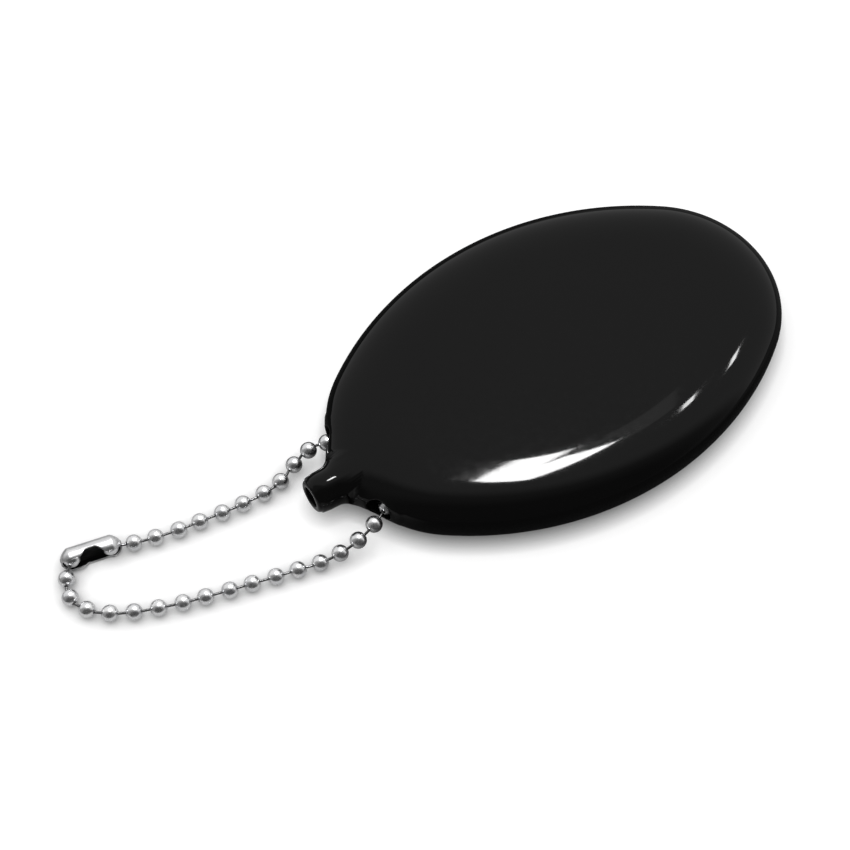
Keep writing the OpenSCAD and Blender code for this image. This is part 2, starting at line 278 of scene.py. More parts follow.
def inner_point(c):
    """Point where the inner wall begins, beside a point of the mouth's edge"""
    x, y = c.x / (SLIT_HALF + LAP), c.y / (MOUTH_HALF + LAP)
    turn = math.atan2(y, x) if abs(c.y) < LIP_WID else math.copysign(math.acos(x), y)
    return oval_point(turn, RIM_R + FLAT_RING) + Vector((0, 0, SKIN))


draw_out(bm, edge, inner_point)
bmesh.ops.remove_doubles(bm, verts=bm.verts, dist=1e-3)

# Neck: its root melts into the shoulder, its open end is rounded, and its bore ends in the pocket.
LENGTHWAYS = Vector((1, 0, 0))
# Radii cut away for the neck and its bore, and those within which the cut edges are found
NECK_CUT, BORE_CUT, NEAR_NECK, NEAR_BORE = 3.7, 2.0, 5, 4
# Ring that the root starts from, and the radius from which the further rings settle outwards
LOOP_R, LOOP_X, NECK_START = 3.35, -36.5, 3
NECK_STOPS = (-37.15, -37.6, -38.1, -38.8, -39.7, NECK_TIP + NECK_LIP + 0.15)
TIP_STEPS, BORE_EDGE, EDGE_STEPS = 5, 0.22, 3
BORE_STOPS = (-40, -38, -36, -34.6)
neck_middle = Vector((0, 0, MID))


def within(p):
    """Whether a point lies on the inner half of the skin"""
    return slab_gap(p, 0) < -SKIN / 2


def off_neck(p):
    """Distance of a point from the neck's axis"""
    return math.hypot(p.y, p.z - MID)


for inside, cut_r in ((False, NECK_CUT), (True, BORE_CUT)):
    wall = [f for f in bm.faces if f.calc_center_median().x < NECK_FROM
            and within(f.calc_center_median()) == inside
            and off_neck(f.calc_center_median()) < cut_r]
    bmesh.ops.delete(bm, geom=wall, context="FACES")
for v in bm.verts:
    if v.co.x < MELT_FROM and not within(v.co):
        v.co = settle_on(v.co, outer_gap)
outer_loop = boundary(bm, lambda c: off_neck(c) < NEAR_NECK and c.x < NECK_FROM and not within(c))
bore_loop = boundary(bm, lambda c: off_neck(c) < NEAR_BORE and c.x < NECK_FROM and within(c))
loop, new = rounded(bm, outer_loop, neck_middle, LENGTHWAYS, LOOP_R)
for v in new:
    v.co = settle_on(Vector((LOOP_X, v.co.y, v.co.z)), outer_gap, LENGTHWAYS)
for x in NECK_STOPS:
    def neck_side(c):
        out = Vector((0, c.y, c.z - MID)).normalized()
        return settle_on(Vector((x, 0, MID)) + out * NECK_START, outer_gap, out)
    loop = draw_out(bm, loop, neck_side)
for k in range(TIP_STEPS + 1):
    a = math.radians(90 * k / TIP_STEPS)
    ring_r = NECK_R - NECK_LIP + NECK_LIP * math.cos(a)
    ring_x = NECK_TIP + NECK_LIP * (1 - math.sin(a))
    loop = draw_out(bm, loop, lambda c: radially(c, neck_middle, LENGTHWAYS, ring_r, ring_x))
for k in range(EDGE_STEPS + 1):
    a = math.radians(90 * k / EDGE_STEPS)
    ring_r = BORE_R + BORE_EDGE * (1 - math.sin(a))
    ring_x = NECK_TIP + BORE_EDGE * (1 - math.cos(a))
    loop = draw_out(bm, loop, lambda c: radially(c, neck_middle, LENGTHWAYS, ring_r, ring_x))
for x in BORE_STOPS:
    loop = draw_out(bm, loop, lambda c: radially(c, neck_middle, LENGTHWAYS, BORE_R, x))
bmesh.ops.bridge_loops(bm, edges=loop + bore_loop)

# Chain holes: each has a slightly rounded edge outside, and runs through the skin on its own axis.
# HOLE_RINGS says how far outside the hole, and how deep in the skin, each ring of that edge lies.
OUTER_GROW, INNER_GROW, EDGE_GROW, NEAR_HOLE, BACK_LIFT = 0.55, 0.3, 0.25, 5, 0.05
HOLE_RINGS = ((0.1, 0.04), (0.03, 0.12), (0, 0.25))
for side in (-1, 1):
    middle = Vector((HOLE_PLACE[0], side * HOLE_PLACE[1], MID))
    way = Vector((-math.cos(HOLE_TURN), side * math.sin(HOLE_TURN), 0))

    def off_hole(c):
        return ((c - middle) - (c - middle).dot(way) * way).length

    loops = []
    for inside, grow in ((False, OUTER_GROW), (True, INNER_GROW)):
        def on_wall(c):
            return c.x < HOLES_FROM and c.y * side > 0 and (outer_gap(c) < -SKIN / 2) == inside
        wall = [f for f in bm.faces if on_wall(f.calc_center_median())
                and off_hole(f.calc_center_median()) < HOLE_R + grow]
        bmesh.ops.delete(bm, geom=wall, context="FACES")
        loops.append(boundary(bm, lambda c: on_wall(c) and off_hole(c) < NEAR_HOLE))
    loop, new = rounded(bm, loops[0], middle, way, HOLE_R + EDGE_GROW)
    for v in new:
        v.co = settle_on(v.co, outer_gap, way)
    for out, deep in HOLE_RINGS:
        def hole_edge(c):
            away = (c - middle) - (c - middle).dot(way) * way
            rim_point = c - away + away.normalized() * (HOLE_R + out)
            return settle_on(rim_point, outer_gap, way) - way * deep
        loop = draw_out(bm, loop, hole_edge)
    loop = draw_out(bm, loop, lambda c: settle_on(c - way * SKIN, inner_gap, way) + way * BACK_LIFT)
    bmesh.ops.bridge_loops(bm, edges=loop + loops[1])

bmesh.ops.remove_doubles(bm, verts=bm.verts, dist=1e-4)
bmesh.ops.recalc_face_normals(bm, faces=bm.faces)
bmesh.ops.scale(bm, vec=(MM, MM, MM), verts=bm.verts)
skin_mesh = bpy.data.meshes.new("skin")
bm.to_mesh(skin_mesh)
bm.free()
skin_mesh.shade_smooth()

# Gloss black plasticised vinyl: dip-smooth, with a trace of waviness and fine handling marks.
vinyl = bpy.data.materials.new("black_vinyl")
vinyl.use_nodes = True
nodes, links = vinyl.node_tree.nodes, vinyl.node_tree.links
shader = nodes["Principled BSDF"]
shader.inputs["IOR"].default_value = 1.5
shader.inputs["Specular IOR Level"].default_value = 0.135
place = nodes.new("ShaderNodeTexCoord")
clouds = nodes.new("ShaderNodeTexNoise")
clouds.inputs["Scale"].default_value = 60
clouds.inputs["Detail"].default_value = 4
links.new(place.outputs["Object"], clouds.inputs["Vector"])
tint = nodes.new("ShaderNodeMapRange")
tint.inputs["To Min"].default_value = 0.0024
tint.inputs["To Max"].default_value = 0.0034
links.new(clouds.outputs["Fac"], tint.inputs["Value"])
links.new(tint.outputs["Result"], shader.inputs["Base Color"])
marks = nodes.new("ShaderNodeTexNoise")
marks.inputs["Scale"].default_value = 900
marks.inputs["Detail"].default_value = 6
links.new(place.outputs["Object"], marks.inputs["Vector"])
gloss = nodes.new("ShaderNodeMapRange")
gloss.inputs["From Min"].default_value = 0.3
gloss.inputs["From Max"].default_value = 0.7
gloss.inputs["To Min"].default_value = 0.035
gloss.inputs["To Max"].default_value = 0.07
links.new(marks.outputs["Fac"], gloss.inputs["Value"])
links.new(gloss.outputs["Result"], shader.inputs["Roughness"])
wave = nodes.new("ShaderNodeTexNoise")
wave.inputs["Scale"].default_value = 140
wave.inputs["Detail"].default_value = 2
links.new(place.outputs["Object"], wave.inputs["Vector"])
bump = nodes.new("ShaderNodeBump")
bump.inputs["Strength"].default_value = 0.03
bump.inputs["Distance"].default_value = 0.00002
links.new(wave.outputs["Fac"], bump.inputs["Height"])
links.new(bump.outputs["Normal"], shader.inputs["Normal"])
skin_mesh.materials.append(vinyl)
skin = bpy.data.objects.new("vinyl_skin", skin_mesh)
bpy.context.collection.objects.link(skin)
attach(skin, "purse")
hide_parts("purse_shell")

# Lips of the slit: the skin's flat face, cut through along the middle and a little sunk there.
# On the real purse they are one with the skin. Here they fill the skin's mouth, and bend into
# the pocket from its edge as the purse is squeezed.
SLIT_GAP, LIP_THICK, LIP_RISE, DISH_WID = 0.3, 1.6, 0.3, 3.0
SEAM, LIP_PLAY, LIP_LEAST = 0.02, 0.06, 0.01
LIP_COLUMNS, LIP_ROWS, CUT_ROUND, CUT_STEPS, LEAST_HALF = 120, 18, 0.14, 3, 0.2
HINGE_Y = 0.014125


def mouth_edge(x, grow):
    """Half width of the mouth, grown outwards, at a place along the slit"""
    share = min(abs(x) / (SLIT_HALF + grow), 1)
    return min((MOUTH_HALF + grow) * math.sqrt(1 - share * share), LIP_WID + grow)


def dish(x, y):
    """Height of the flat face over the table: up from the mouth's edge to the slit"""
    part = min((mouth_edge(x, LAP) - abs(y)) / DISH_WID, 1)
    return LIP_RISE * part * part * (3 - 2 * part)


for name, side in (("lip_near", -1), ("lip_far", 1)):
    bm = bmesh.new()
    bmesh.ops.create_grid(bm, x_segments=LIP_COLUMNS, y_segments=LIP_ROWS, size=1)
    for v in bm.verts:
        x = (SLIT_HALF + LAP - LIP_PLAY) * math.sin(v.co.x * math.pi / 2)
        far_y = max(mouth_edge(x, LAP) - SEAM, SLIT_GAP / 2 + LIP_LEAST)
        part = (v.co.y + 1) / 2
        v.co = Vector((x, side * (SLIT_GAP / 2 + part * (far_y - SLIT_GAP / 2)), 0))
        v.co.z = dish(v.co.x, v.co.y)
    made = bmesh.ops.extrude_face_region(bm, geom=bm.faces[:])["geom"]
    for v in [v for v in made if isinstance(v, bmesh.types.BMVert)]:
        v.co.z = SKIN + (LIP_RISE + LIP_THICK - SKIN) * v.co.z / LIP_RISE
    cut = [e for e in bm.edges if abs(e.verts[0].co.z - e.verts[1].co.z) < LIP_THICK / 3
           and all(abs(abs(v.co.y) - SLIT_GAP / 2) < 1e-4 for v in e.verts)
           and all(abs(v.co.x) < SLIT_HALF for v in e.verts)]
    bmesh.ops.bevel(bm, geom=cut, offset=CUT_ROUND, offset_type="OFFSET", segments=CUT_STEPS,
                    profile=0.5, affect="EDGES", material=-1)
    bmesh.ops.recalc_face_normals(bm, faces=bm.faces)
    bmesh.ops.scale(bm, vec=(MM, MM, MM), verts=bm.verts)
    lip_mesh = bpy.data.meshes.new(name + "_skin")
    bm.to_mesh(lip_mesh)
    bm.free()
    lip_mesh.shade_smooth()
    lip_mesh.materials.append(vinyl)
    lip = bpy.data.objects.new(name + "_skin", lip_mesh)
    bpy.context.collection.objects.link(lip)
    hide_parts(name)
    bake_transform(lip, "purse", "near_lip" if side < 0 else "far_lip",
             start=(0, side * HINGE_Y, 0), end=(0, 0, 0))
    bend = []
    for v in lip_mesh.vertices:
        x, y = v.co.x / MM, abs(v.co.y) / MM
        along = 1 - (x / (SLIT_HALF + LAP)) ** 2
        inward = min(max((mouth_edge(x, LAP) - y) / max(mouth_edge(x, LAP), LEAST_HALF), 0), 1)
        bend.append(max(along, 0) * inward * (2 - inward))
    lip_mesh.attributes["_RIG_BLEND"].data.foreach_set("value", np.array(bend, np.float32))

# Balls of the chain: hollow beads of thin nickel-plated steel, rolled round from a strip.
# Each has a hole at both ends. Its edge is turned in and holds the head of a wire.
# HOLE_RIM says how far outside the hole, and how far from the ball's middle, its edge runs.
BALLS, BALL_R, BALL_WALL, BEAD_HOLE = 35, 1.2, 0.2, 0.3
HOLE_RIM = ((0, 0.96), (0, 1.06), (0.015, 1.1), (0.05, 1.13))
ROUND_FROM, ROUND_STOPS, HOLLOW_FROM, HOLLOW_STOPS, BEAD_SIDES = 19.5, 19, 30, 9, 32
NEAR_END, FAR_END = 17, 18
GROUPS = {"chain_1": (3, 26, 27), "chain_2": (4, 5, 24, 25), "chain_3": (6, 7, 22, 23),
          "chain_4": (8, 9, 20, 21), "chain_5": tuple(range(10, 20))}
carrier = {k: next((body for body, group in GROUPS.items() if k in group), "purse")
           for k in range(1, BALLS + 1)}
spot = {}
for k in range(1, BALLS + 1):
    low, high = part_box(f"ball_{k:02d}")
    spot[k] = (Vector(low) + Vector(high)) / 2 / MM


def neighbour(k, step):
    """Place of the ball that lies a number of steps along the closed loop"""
    return spot[(k - 1 + step) % BALLS + 1]


def bead_axis(k):
    """Way from hole to hole: past both neighbours, or along the one wire of an end ball"""
    if k == NEAR_END:
        return (spot[k] - neighbour(k, -1)).normalized()
    if k == FAR_END:
        return (neighbour(k, 1) - spot[k]).normalized()
    return (neighbour(k, 1) - neighbour(k, -1)).normalized()


def pointed(p, way):
    """Turns what points along +Z to point along way, and moves it to p"""
    return Matrix.Translation(p) @ way.to_track_quat("Z", "Y").to_matrix().to_4x4()


nickel = bpy.data.materials.new("nickel_beads")
nickel.use_nodes = True
nodes, links = nickel.node_tree.nodes, nickel.node_tree.links
shader = nodes["Principled BSDF"]
shader.inputs["Metallic"].default_value = 1.0
place = nodes.new("ShaderNodeTexCoord")
patches = nodes.new("ShaderNodeTexNoise")
patches.inputs["Scale"].default_value = 700
patches.inputs["Detail"].default_value = 5
links.new(place.outputs["Object"], patches.inputs["Vector"])
plating = nodes.new("ShaderNodeValToRGB")
plating.color_ramp.elements[0].position = 0.3
plating.color_ramp.elements[0].color = (0.62, 0.625, 0.64, 1)
plating.color_ramp.elements[1].position = 0.7
plating.color_ramp.elements[1].color = (0.74, 0.74, 0.74, 1)
links.new(patches.outputs["Fac"], plating.inputs["Fac"])
links.new(plating.outputs["Color"], shader.inputs["Base Color"])
scuffs = nodes.new("ShaderNodeTexNoise")
scuffs.inputs["Scale"].default_value = 2600
scuffs.inputs["Detail"].default_value = 8
scuffs.inputs["Roughness"].default_value = 0.65
links.new(place.outputs["Object"], scuffs.inputs["Vector"])
polish = nodes.new("ShaderNodeMapRange")
polish.inputs["From Min"].default_value = 0.35
polish.inputs["From Max"].default_value = 0.7
polish.inputs["To Min"].default_value = 0.2
polish.inputs["To Max"].default_value = 0.34
links.new(scuffs.outputs["Fac"], polish.inputs["Value"])
links.new(polish.outputs["Result"], shader.inputs["Roughness"])
dents = nodes.new("ShaderNodeBump")
dents.inputs["Strength"].default_value = 0.25
dents.inputs["Distance"].default_value = 0.00002
links.new(patches.outputs["Fac"], dents.inputs["Height"])
links.new(dents.outputs["Normal"], shader.inputs["Normal"])

bead = bmesh.new()
half = [(BEAD_HOLE + out, z) for out, z in HOLE_RIM]
arc = [math.radians(a) for a in np.linspace(ROUND_FROM, 180 - ROUND_FROM, ROUND_STOPS)]
section = half + [(BALL_R * math.sin(a), BALL_R * math.cos(a)) for a in arc]
section += [(r, -z) for r, z in reversed(half)]
inside_r = BALL_R - BALL_WALL
hollow = [math.radians(a) for a in np.linspace(180 - HOLLOW_FROM, HOLLOW_FROM, HOLLOW_STOPS)]
section += [(inside_r * math.sin(a), inside_r * math.cos(a)) for a in hollow]
corners = [bead.verts.new((r, 0, z)) for r, z in section]
rim = [bead.edges.new(pair) for pair in zip(corners, corners[1:] + corners[:1])]
bmesh.ops.spin(bead, geom=corners + rim, cent=(0, 0, 0), axis=(0, 0, 1), angle=2 * math.pi,
               steps=BEAD_SIDES, use_merge=True)
bmesh.ops.recalc_face_normals(bead, faces=bead.faces)
for k in range(1, BALLS + 1):
    bm = bead.copy()
    bmesh.ops.transform(bm, matrix=Matrix.Scale(MM, 4) @ pointed(spot[k], bead_axis(k)),
                        verts=bm.verts)
    bead_mesh = bpy.data.meshes.new(f"bead_{k:02d}")
    bm.to_mesh(bead_mesh)
    bm.free()
    bead_mesh.shade_smooth()
    bead_mesh.materials.append(nickel)
    shown = bpy.data.objects.new(f"bead_{k:02d}", bead_mesh)
    bpy.context.collection.objects.link(shown)
    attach(shown, carrier[k])
    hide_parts(f"ball_{k:02d}")
bead.free()

# Links of the chain: short steel wires whose upset ends are caught inside the balls.
# The wire is coloured much darker than the balls, as painted shade in the narrow gaps between them.
# Its heads are out of sight, and drawn a little small so that they stay clear of the balls.
WIRE_R, WIRE_HEAD, HEAD_SHOWN, TAUT = 0.19, 0.36, 0.32, 3.48
HEAD_ANGLES, NECK_ANGLE, NECK_STEP, WIRE_SIDES = (12, 35, 58, 80, 100, 122, 143), 148, 0.04, 16
HINGE_R = BALL_R - BALL_WALL / 2
LINKS = {"links_in_purse": ("purse", (1, 27, 28, 29, 30, 31, 32, 33, 34, 35))}
ROWS = (((2, 3), (26,)), ((4, 5), (25, 24)), ((6, 7), (23, 22)), ((8, 9), (21, 20)),
        (tuple(range(10, 17)), (19, 18)))
for row, (near, far) in enumerate(ROWS, 1):
    LINKS[f"links_near_{row}"] = (f"chain_{row}", near)
    LINKS[f"links_far_{row}"] = (f"chain_{row}", far)
edge_in = HINGE_R - math.sqrt(inside_r ** 2 - BEAD_HOLE ** 2)
taut_depth = edge_in + math.sqrt(WIRE_HEAD ** 2 - BEAD_HOLE ** 2)
wire_len = TAUT - 2 * HINGE_R + 2 * taut_depth

drawn = bpy.data.materials.new("drawn_wire")
drawn.use_nodes = True
nodes, links = drawn.node_tree.nodes, drawn.node_tree.links
shader = nodes["Principled BSDF"]
shader.inputs["Metallic"].default_value = 1.0
place = nodes.new("ShaderNodeTexCoord")
streaks = nodes.new("ShaderNodeTexNoise")
streaks.inputs["Scale"].default_value = 3000
streaks.inputs["Detail"].default_value = 4
links.new(place.outputs["Object"], streaks.inputs["Vector"])
# Painted shade: the wire's tone is set far below bright steel, for the shade between the balls.
tone = nodes.new("ShaderNodeValToRGB")
tone.color_ramp.elements[0].position = 0.3
tone.color_ramp.elements[0].color = (0.12, 0.12, 0.125, 1)
tone.color_ramp.elements[1].position = 0.7
tone.color_ramp.elements[1].color = (0.2, 0.2, 0.2, 1)
links.new(streaks.outputs["Fac"], tone.inputs["Fac"])
links.new(tone.outputs["Color"], shader.inputs["Base Color"])
rub = nodes.new("ShaderNodeMapRange")
rub.inputs["To Min"].default_value = 0.2
rub.inputs["To Max"].default_value = 0.36
links.new(streaks.outputs["Fac"], rub.inputs["Value"])
links.new(rub.outputs["Result"], shader.inputs["Roughness"])

pin = bmesh.new()
bulge = [(HEAD_SHOWN * math.sin(math.radians(t)), -HEAD_SHOWN * math.cos(math.radians(t)))
         for t in HEAD_ANGLES]
neck_end = -WIRE_HEAD * math.cos(math.radians(NECK_ANGLE)) + NECK_STEP
section = bulge + [(WIRE_R, neck_end), (WIRE_R, wire_len / 2)]
section += [(r, wire_len - z) for r, z in reversed(section[:-1])]
corners = [pin.verts.new((r, 0, z)) for r, z in section]
rim = [pin.edges.new(pair) for pair in zip(corners, corners[1:])]
bmesh.ops.spin(pin, geom=corners + rim, cent=(0, 0, 0), axis=(0, 0, 1), angle=2 * math.pi,
               steps=WIRE_SIDES, use_merge=True)
bmesh.ops.holes_fill(pin, edges=[e for e in pin.edges if e.is_boundary], sides=0)
bmesh.ops.recalc_face_normals(pin, faces=pin.faces)
for name, (body, numbers) in LINKS.items():
    wires_mesh = bpy.data.meshes.new(name.replace("links", "wires"))
    bm = bmesh.new()
    for k in numbers:
        after = k % BALLS + 1
        a = spot[k] + HINGE_R * bead_axis(k)
        b = spot[after] - HINGE_R * bead_axis(after)
        way = (b - a).normalized()
        start = a + way * ((b - a).length - wire_len) / 2
        one = pin.copy()
        bmesh.ops.transform(one, matrix=pointed(start, way), verts=one.verts)
        one.to_mesh(wires_mesh)
        bm.from_mesh(wires_mesh)
        one.free()
    bmesh.ops.scale(bm, vec=(MM, MM, MM), verts=bm.verts)
    bm.to_mesh(wires_mesh)
    bm.free()
    wires_mesh.shade_smooth()
    wires_mesh.materials.append(drawn)
    wires = bpy.data.objects.new(wires_mesh.name, wires_mesh)
    bpy.context.collection.objects.link(wires)
    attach(wires, body)
    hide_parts(name)
pin.free()

# Connector: a strip of nickel-plated sheet, rolled to a tube and drawn in at both ends.
# The end balls snap in through its side, which is cut away in one curling opening.
# UPPER and LOWER give the opening's edges: a place along the tube and a turn round it in degrees.
TUBE_R, SHEET, END_ROUND, TUBE_HALF, END_HOLE, END_FLAT = 1.65, 0.25, 1.2, 4.3, 0.5, 0.6
LONG_CELLS, ROUND_CELLS, EDGE_ROUND, BURR_STEPS = 76, 56, 0.06, 2
UPPER = ((-4.3, 50), (-3.6, 57), (-1.7, 58), (-0.5, 90), (0.6, 91), (2.2, 42), (4.3, 38))
LOWER = ((-4.3, -37), (-3.4, -42), (-1.6, -42), (-0.6, -66), (2.0, -66), (4.3, -44))
centre = (spot[NEAR_END] + spot[FAR_END]) / 2
lengthways = (spot[FAR_END] - spot[NEAR_END]).normalized()
outwards = lengthways.cross(Vector((0, 0, 1)))
straight = TUBE_HALF - END_ROUND
around = math.acos((END_HOLE - TUBE_R + END_ROUND) / END_ROUND)
run = straight + END_ROUND * around


def eased(s, stops):
    """Value at s of a curve that eases from each stop to the next"""
    for (s0, a), (s1, b) in zip(stops, stops[1:]):
        if s < s1:
            part = max((s - s0) / (s1 - s0), 0)
            return a + (b - a) * part * part * (3 - 2 * part)
    return stops[-1][1]


def tube_point(length, turn, depth):
    """Point of the sheet at a length along the strip, a turn round the tube and a depth"""
    far = abs(length)
    if far < straight:
        r, s = TUBE_R - depth, far
    else:
        bend = (far - straight) / END_ROUND
        share = bend / around
        round_r = TUBE_R - END_ROUND + (END_ROUND - depth) * math.cos(bend)
        round_s = (END_ROUND - depth) * math.sin(bend)
        flat_r = TUBE_R - depth + (END_HOLE - TUBE_R + depth * (1 - math.cos(around))) * share
        flat_s = (END_ROUND - depth) * math.sin(around) * share
        r = round_r + (flat_r - round_r) * END_FLAT
        s = straight + round_s + (flat_s - round_s) * END_FLAT
    a = math.radians(turn)
    return centre + math.copysign(s, length) * lengthways + r * (
        math.cos(a) * outwards + math.sin(a) * Vector((0, 0, 1)))


bm = bmesh.new()
bmesh.ops.create_grid(bm, x_segments=LONG_CELLS, y_segments=ROUND_CELLS, size=1)
made = bmesh.ops.extrude_face_region(bm, geom=bm.faces[:])["geom"]
for v in [v for v in made if isinstance(v, bmesh.types.BMVert)]:
    v.co.z = 1
rolled = {}
for v in bm.verts:
    length = v.co.x * run
    upper, lower = eased(length, UPPER), eased(length, LOWER) + 360
    rolled[v] = tube_point(length, upper + (lower - upper) * (v.co.y + 1) / 2, SHEET * v.co.z)
sides = [f for f in bm.faces if len({round(v.co.z) for v in f.verts}) > 1]
inner = [f for f in bm.faces if all(v.co.z > 0.5 for v in f.verts)]
rims = list({e for f in sides for e in f.edges if abs(e.verts[0].co.z - e.verts[1].co.z) < 0.5})
for v, p in rolled.items():
    v.co = p
# The inner faces take the second material, whose dark colour is painted shade inside the tube.
for f in inner:
    f.material_index = 1
bmesh.ops.bevel(bm, geom=rims, offset=EDGE_ROUND, offset_type="OFFSET", segments=BURR_STEPS,
                profile=0.5, affect="EDGES", material=-1)
bmesh.ops.recalc_face_normals(bm, faces=bm.faces)
bmesh.ops.scale(bm, vec=(MM, MM, MM), verts=bm.verts)
clasp_mesh = bpy.data.meshes.new("rolled_connector")
bm.to_mesh(clasp_mesh)
bm.free()
clasp_mesh.shade_smooth()
turned = Matrix((lengthways, outwards, Vector((0, 0, 1))))

# Its outside is plated satin, with a fine grain along the strip. Its inside is coloured nearly black as
# painted shade in the hollow of the tube.
# The second material's near-black tone is painted shade, not a bare surface.
for title, low_tone, high_tone, low_rub, high_rub in (
        ("satin_nickel", 0.52, 0.68, 0.26, 0.4), ("painted_shade_inside", 0.03, 0.07, 0.35, 0.5)):
    satin = bpy.data.materials.new(title)
    satin.use_nodes = True
    nodes, links = satin.node_tree.nodes, satin.node_tree.links
    shader = nodes["Principled BSDF"]
    shader.inputs["Metallic"].default_value = 1.0
    place = nodes.new("ShaderNodeTexCoord")
    drawn_way = nodes.new("ShaderNodeMapping")
    drawn_way.vector_type = "TEXTURE"
    drawn_way.inputs["Rotation"].default_value = turned.transposed().to_euler()
    drawn_way.inputs["Scale"].default_value = (14, 1, 1)
    links.new(place.outputs["Object"], drawn_way.inputs["Vector"])
    grain = nodes.new("ShaderNodeTexNoise")
    grain.inputs["Scale"].default_value = 9000
    grain.inputs["Detail"].default_value = 4
    links.new(drawn_way.outputs["Vector"], grain.inputs["Vector"])
    tone = nodes.new("ShaderNodeValToRGB")
    tone.color_ramp.elements[0].position = 0.3
    tone.color_ramp.elements[0].color = (low_tone, low_tone, low_tone * 1.02, 1)
    tone.color_ramp.elements[1].position = 0.7
    tone.color_ramp.elements[1].color = (high_tone, high_tone, high_tone, 1)
    links.new(grain.outputs["Fac"], tone.inputs["Fac"])
    links.new(tone.outputs["Color"], shader.inputs["Base Color"])
    rub = nodes.new("ShaderNodeMapRange")
    rub.inputs["From Min"].default_value = 0.3
    rub.inputs["From Max"].default_value = 0.7
    rub.inputs["To Min"].default_value = low_rub
    rub.inputs["To Max"].default_value = high_rub
    links.new(grain.outputs["Fac"], rub.inputs["Value"])
    links.new(rub.outputs["Result"], shader.inputs["Roughness"])
    scratch = nodes.new("ShaderNodeBump")
    scratch.inputs["Strength"].default_value = 0.3
    scratch.inputs["Distance"].default_value = 0.00001
    links.new(grain.outputs["Fac"], scratch.inputs["Height"])
    links.new(scratch.outputs["Normal"], shader.inputs["Normal"])
    clasp_mesh.materials.append(satin)
clasp = bpy.data.objects.new("rolled_connector", clasp_mesh)
bpy.context.collection.objects.link(clasp)
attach(clasp, "connector")
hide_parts("connector")

# Table: a white matt sheet that keeps the soft shadow under the purse and the chain. A painted
# contact shadow darkens its colour and dims its glow where they stand close. It runs on past the
# camera's view with no edge in sight. In mirrored rays its colour is a painted reflection: bright
# round the chain, pale past the purse's far end and dark elsewhere, as the photo's gloss shows.
TABLE_HALF, TABLE_CELLS, TABLE_DROP, CHAIN_MIDDLE = 8, 8, 0.00002, (-0.064, 0, 0)
bm = bmesh.new()
bmesh.ops.create_grid(bm, x_segments=TABLE_CELLS, y_segments=TABLE_CELLS, size=TABLE_HALF)
bmesh.ops.translate(bm, verts=bm.verts, vec=(0, 0, -TABLE_DROP))
sheet_mesh = bpy.data.meshes.new("table")
bm.to_mesh(sheet_mesh)
bm.free()
table = bpy.data.objects.new("table", sheet_mesh)
bpy.context.collection.objects.link(table)
paper = bpy.data.materials.new("white_paper")
paper.use_nodes = True
nodes, links = paper.node_tree.nodes, paper.node_tree.links
shader = nodes["Principled BSDF"]
shader.inputs["Roughness"].default_value = 0.9
shader.inputs["Specular IOR Level"].default_value = 0.0
rays = nodes.new("ShaderNodeLightPath")
ground = nodes.new("ShaderNodeTexCoord")
along = nodes.new("ShaderNodeSeparateXYZ")
links.new(ground.outputs["Object"], along.inputs["Vector"])
from_chain = nodes.new("ShaderNodeVectorMath")
from_chain.operation = "DISTANCE"
from_chain.inputs[1].default_value = CHAIN_MIDDLE
links.new(ground.outputs["Object"], from_chain.inputs[0])
# Painted reflection: in mirrored rays the paper's colour is bright round the chain and dark elsewhere.
reflection_painted_round_chain = nodes.new("ShaderNodeMapRange")
reflection_painted_round_chain.interpolation_type = "SMOOTHSTEP"
reflection_painted_round_chain.inputs["From Min"].default_value = 0.016
reflection_painted_round_chain.inputs["From Max"].default_value = 0.034
reflection_painted_round_chain.inputs["To Min"].default_value = 0.9
reflection_painted_round_chain.inputs["To Max"].default_value = 0.065
links.new(from_chain.outputs["Value"], reflection_painted_round_chain.inputs["Value"])
# Painted contact shadow: the AO darkens the paper's colour where the purse or chain is close.
contact = nodes.new("ShaderNodeAmbientOcclusion")
contact.samples = 12
contact.inputs["Distance"].default_value = 0.003
painted_contact_shadow = nodes.new("ShaderNodeMapRange")
painted_contact_shadow.inputs["From Min"].default_value = 0.2
painted_contact_shadow.inputs["To Min"].default_value = 0.35
painted_contact_shadow.inputs["To Max"].default_value = 0.92
links.new(contact.outputs["AO"], painted_contact_shadow.inputs["Value"])
shade = nodes.new("ShaderNodeMix")
links.new(painted_contact_shadow.outputs["Result"], shade.inputs["A"])
links.new(rays.outputs["Is Glossy Ray"], shade.inputs["Factor"])
# Painted reflection: in mirrored rays the paper's colour is pale past the purse's far end.
reflection_painted_far_end = nodes.new("ShaderNodeMapRange")
reflection_painted_far_end.interpolation_type = "SMOOTHSTEP"
reflection_painted_far_end.inputs["From Min"].default_value = 0.02
reflection_painted_far_end.inputs["From Max"].default_value = 0.06
reflection_painted_far_end.inputs["To Max"].default_value = 0.24
links.new(along.outputs["X"], reflection_painted_far_end.inputs["Value"])
# The brighter of the two painted reflections is the paper's colour in mirrored rays.
painted_reflection_level = nodes.new("ShaderNodeMath")
painted_reflection_level.operation = "MAXIMUM"
links.new(reflection_painted_round_chain.outputs["Result"], painted_reflection_level.inputs[0])
links.new(reflection_painted_far_end.outputs["Result"], painted_reflection_level.inputs[1])
links.new(painted_reflection_level.outputs["Value"], shade.inputs["B"])
links.new(shade.outputs["Result"], shader.inputs["Base Color"])
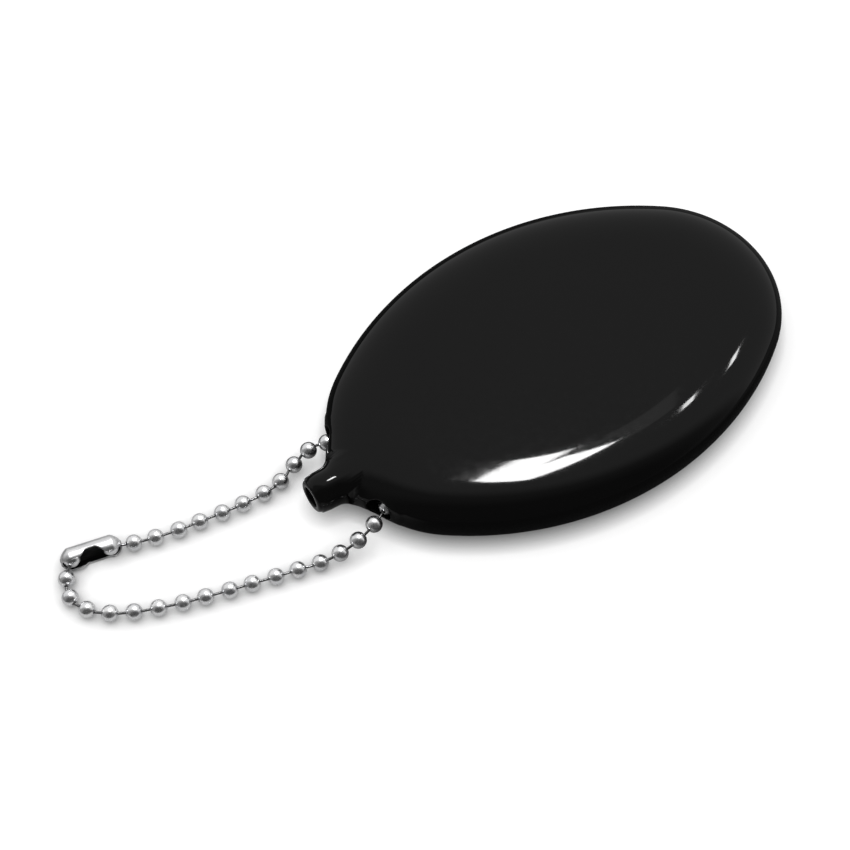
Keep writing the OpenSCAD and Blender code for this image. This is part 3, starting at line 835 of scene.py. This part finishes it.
# Painted contact shadow in the glow: the AO dims the camera-ray glow where the purse or chain is close.
glow_painted_shadow = nodes.new("ShaderNodeMapRange")
glow_painted_shadow.inputs["From Min"].default_value = 0.2
glow_painted_shadow.inputs["To Min"].default_value = 0.05
glow_painted_shadow.inputs["To Max"].default_value = 0.47
links.new(contact.outputs["AO"], glow_painted_shadow.inputs["Value"])
glow = nodes.new("ShaderNodeMapRange")
links.new(glow_painted_shadow.outputs["Result"], glow.inputs["To Max"])
links.new(rays.outputs["Is Camera Ray"], glow.inputs["Value"])
links.new(glow.outputs["Result"], shader.inputs["Emission Strength"])
shader.inputs["Emission Color"].default_value = (1, 1, 1, 1)
sheet_mesh.materials.append(paper)

# Light: a pale surround, a broad lamp over the far side, and six panels that the gloss mirrors.
# The panels show in reflections only, so the table and the colours keep their plain level.
LAMP_Z, SKY_LEVEL = 0.6, 0.72
# Where the mirrored surround darkens: a way, the reach over which its level changes, and how
SKY_SIDES = (((0.57, 0.82, 0), -0.15, 0.1, 0.33, 1.0),
             ((-0.362, -0.896, 0.259), 0.35, 0.7, 1.0, 0.26))
bpy.context.scene.view_settings.view_transform = "Standard"
world = bpy.data.worlds.new("studio")
bpy.context.scene.world = world
world.use_nodes = True
world.node_tree.nodes["Background"].inputs["Color"].default_value = (1, 1, 1, 1)
nodes, links = world.node_tree.nodes, world.node_tree.links
sky_way = nodes.new("ShaderNodeTexCoord")
levels = []
for way, start, end, before, after in SKY_SIDES:
    facing = nodes.new("ShaderNodeVectorMath")
    facing.operation = "DOT_PRODUCT"
    facing.inputs[1].default_value = way
    links.new(sky_way.outputs["Generated"], facing.inputs[0])
    level = nodes.new("ShaderNodeMapRange")
    level.interpolation_type = "SMOOTHSTEP"
    level.inputs["From Min"].default_value = start
    level.inputs["From Max"].default_value = end
    level.inputs["To Min"].default_value = before
    level.inputs["To Max"].default_value = after
    links.new(facing.outputs["Value"], level.inputs["Value"])
    levels.append(level)
mirrored_sky = nodes.new("ShaderNodeMath")
mirrored_sky.operation = "MULTIPLY"
links.new(levels[0].outputs["Result"], mirrored_sky.inputs[0])
links.new(levels[1].outputs["Result"], mirrored_sky.inputs[1])
rays = nodes.new("ShaderNodeLightPath")
sky = nodes.new("ShaderNodeMix")
sky.inputs["A"].default_value = SKY_LEVEL
links.new(rays.outputs["Is Glossy Ray"], sky.inputs["Factor"])
links.new(mirrored_sky.outputs["Value"], sky.inputs["B"])
links.new(sky.outputs["Result"], nodes["Background"].inputs["Strength"])


def softbox(name, x, y, wide, high, turn, glare, mirrored):
    """Area lamp over the table that faces down, seen only by mirrored or only by other rays"""
    lamp = bpy.data.lights.new(name, "AREA")
    lamp.shape = "RECTANGLE"
    lamp.size, lamp.size_y, lamp.energy = wide, high, glare * math.pi * wide * high
    holder = bpy.data.objects.new(name, lamp)
    bpy.context.collection.objects.link(holder)
    turned = Matrix.Rotation(math.radians(turn), 4, "Z")
    holder.matrix_world = Matrix.Translation((x, y, LAMP_Z)) @ turned
    holder.visible_diffuse = not mirrored
    holder.visible_glossy = mirrored


softbox("broad_lamp", -0.3, 0.35, 0.5, 0.5, 0, 0.8, False)
softbox("long_panel", 0.15, 0.118, 0.15, 0.055, 36, 96, True)
softbox("upper_panel", 0.143, 0.163, 0.175, 0.036, 50, 96, True)
softbox("side_panel", 0.316, 0.068, 0.022, 0.036, 0, 66, True)
softbox("low_panel", 0.452, 0.028, 0.034, 0.04, 0, 66, True)
softbox("dim_panel", 0.15, 0.165, 0.17, 0.08, 45, 1.0, True)
softbox("dim_edge", 0.262, 0.17, 0.06, 0.1, 0, 0.75, True)
